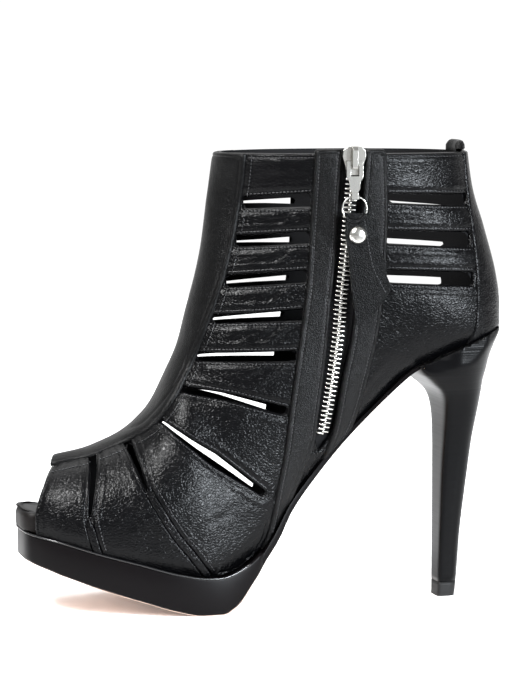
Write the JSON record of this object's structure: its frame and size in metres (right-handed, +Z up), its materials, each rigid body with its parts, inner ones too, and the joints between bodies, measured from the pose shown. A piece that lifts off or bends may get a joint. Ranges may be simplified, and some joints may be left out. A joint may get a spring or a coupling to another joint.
{
  "type": "ankle boot",
  "caption": "Black peep-toe ankle boot with a strap-cage leather upper, side zip with a hanging pull, stacked platform and tall slim heel.",
  "frame": {"origin": "on the floor, under the middle of the boot's box", "axes": "+X from the toe to the heel, +Y from the inner side with the zip to the outer side, +Z up"},
  "size_m": [0.2136, 0.081, 0.2005],
  "materials": {
    "grained_leather": "pebbled, semi-gloss",
    "strip_leather": "fine grain, satin",
    "footbed_leather": "smooth, satin",
    "stacked_black": "stacked and lacquered, satin",
    "sole_leather": "smooth, satin",
    "top_piece_rubber": "matt",
    "zip_metal": "polished nickel",
    "zip_cloth": "woven, matt"
  },
  "bodies": {
    "boot": {"upper": "grained_leather", "front_band": "grained_leather", "zip_facing_front": "strip_leather", "zip_facing_rear": "strip_leather", "side_band_lateral": "strip_leather", "back_strip": "strip_leather", "vamp_seam_medial_1": "strip_leather", "vamp_seam_lateral_1": "strip_leather", "vamp_seam_medial_2": "strip_leather", "vamp_seam_lateral_2": "strip_leather", "heel_pull_tab": "strip_leather", "zip_tape": "zip_cloth", "zip_teeth_front": "zip_metal", "zip_teeth_rear": "zip_metal", "footbed": "footbed_leather", "platform": "stacked_black", "outsole": "sole_leather", "heel": "stacked_black", "heel_top_piece": "top_piece_rubber", "zip_slider": "zip_metal"},
    "puller": {"zip_puller": "zip_metal"},
    "pull": {"pull_ring": "zip_metal", "pull_leather_tab": "strip_leather", "pull_stud": "zip_metal"}
  },
  "joints": [
    {"name": "puller_hinge", "type": "hinge", "parent": "boot", "child": "puller", "pos_m": [0.03598, -0.03478, 0.19226], "axis": [-1, 0.0071, 0], "range_deg": [0, 140]},
    {"name": "ring_hinge", "type": "hinge", "parent": "puller", "child": "pull", "pos_m": [0.03598, -0.03478, 0.17811], "axis": [-1, 0.0071, 0], "range_deg": [0, 90]}
  ]
}
